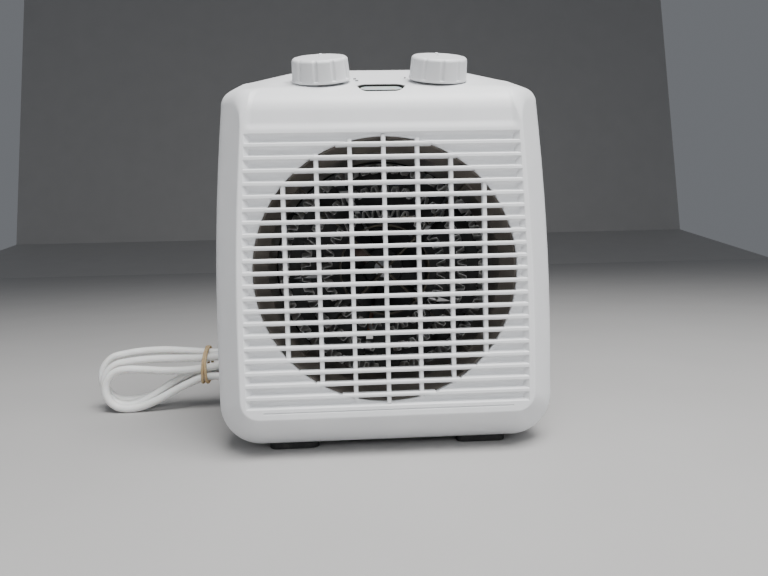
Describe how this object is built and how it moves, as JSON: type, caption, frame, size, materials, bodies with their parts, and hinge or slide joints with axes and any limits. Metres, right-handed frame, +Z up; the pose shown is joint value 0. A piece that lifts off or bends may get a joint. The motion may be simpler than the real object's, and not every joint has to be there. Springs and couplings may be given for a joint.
{
  "type": "fan heater",
  "caption": "Upright white fan heater: ribbed round outlet grille, two fluted knobs on a sloping deck, crinkled ribbon element, axial fan, and a mains lead tied in a hank.",
  "frame": {"origin": "on the table under the body, midway between the front panel and the back, in line with the fan", "axes": "+Z up, -Y is the front that blows, +X to the right seen from the front"},
  "size_m": [0.3835, 0.1903, 0.2845],
  "materials": {
    "casing_white": "satin moulded white",
    "knob_white": "satin moulded white",
    "lens": "milky clear",
    "rubber": "matte",
    "dark_plastic": "matte",
    "mica": "matte layered",
    "ribbon_metal": "bare resistance alloy",
    "steel": "zinc plated",
    "laminations": "stacked",
    "copper_tape": "varnished winding under tape",
    "brass": "satin",
    "bronze": "sintered",
    "fan_grey": "satin",
    "phenolic": "matte",
    "lamp": "glossy neon lamp",
    "wire_insulation": "satin",
    "cord_white": "satin sheath",
    "tie_tan": "matte band",
    "plug_white": "satin",
    "fuse_body": "satin"
  },
  "bodies": {
    "housing": {"front_casing": "casing_white", "rear_casing": "casing_white", "rubber_feet": "rubber", "casing_screws": "steel", "indicator_lens": "lens", "indicator_lamp": "lamp", "heater_duct": "dark_plastic", "duct_screws": "steel", "mica_frame": "mica", "outer_ribbon": "ribbon_metal", "middle_ribbon": "ribbon_metal", "inner_ribbon": "ribbon_metal", "element_terminals": "brass", "thermal_cutout": "phenolic", "thermal_fuse": "fuse_body", "motor_mount": "dark_plastic", "motor_stator": "laminations", "motor_coil": "copper_tape", "front_bracket": "steel", "rear_bracket": "steel", "motor_bushes": "bronze", "motor_screws": "steel", "thermostat_body": "phenolic", "switch_body": "dark_plastic", "control_screws": "steel", "terminal_block": "phenolic", "wiring_loom": "wire_insulation", "cord_clamp": "phenolic", "cord_gland": "casing_white", "cord_lead": "cord_white", "cord_tail": "cord_white", "cord_hank": "cord_white", "cord_tie": "tie_tan", "plug_body": "plug_white", "plug_pins": "brass"},
    "fan_rotor": {"motor_rotor": "laminations", "motor_shaft": "steel", "fan_impeller": "fan_grey", "fan_clip": "steel"},
    "thermostat_dial": {"thermostat_knob": "knob_white", "thermostat_spindle": "brass"},
    "heat_dial": {"switch_knob": "knob_white", "switch_spindle": "phenolic"}
  },
  "joints": [
    {"name": "fan_spin", "type": "hinge", "parent": "housing", "child": "fan_rotor", "pos_m": [0, -0.019, 0.1285], "axis": [0, 1, 0], "continuous": true},
    {"name": "thermostat_turn", "type": "hinge", "parent": "housing", "child": "thermostat_dial", "pos_m": [-0.0406, -0.037, 0.26002], "axis": [-0.0384, -0.416, 0.9086], "range_deg": [-270, 0]},
    {"name": "heat_switch_turn", "type": "hinge", "parent": "housing", "child": "heat_dial", "pos_m": [0.0406, -0.037, 0.26002], "axis": [0.0384, -0.416, 0.9086], "range_deg": [-135, 0]}
  ]
}
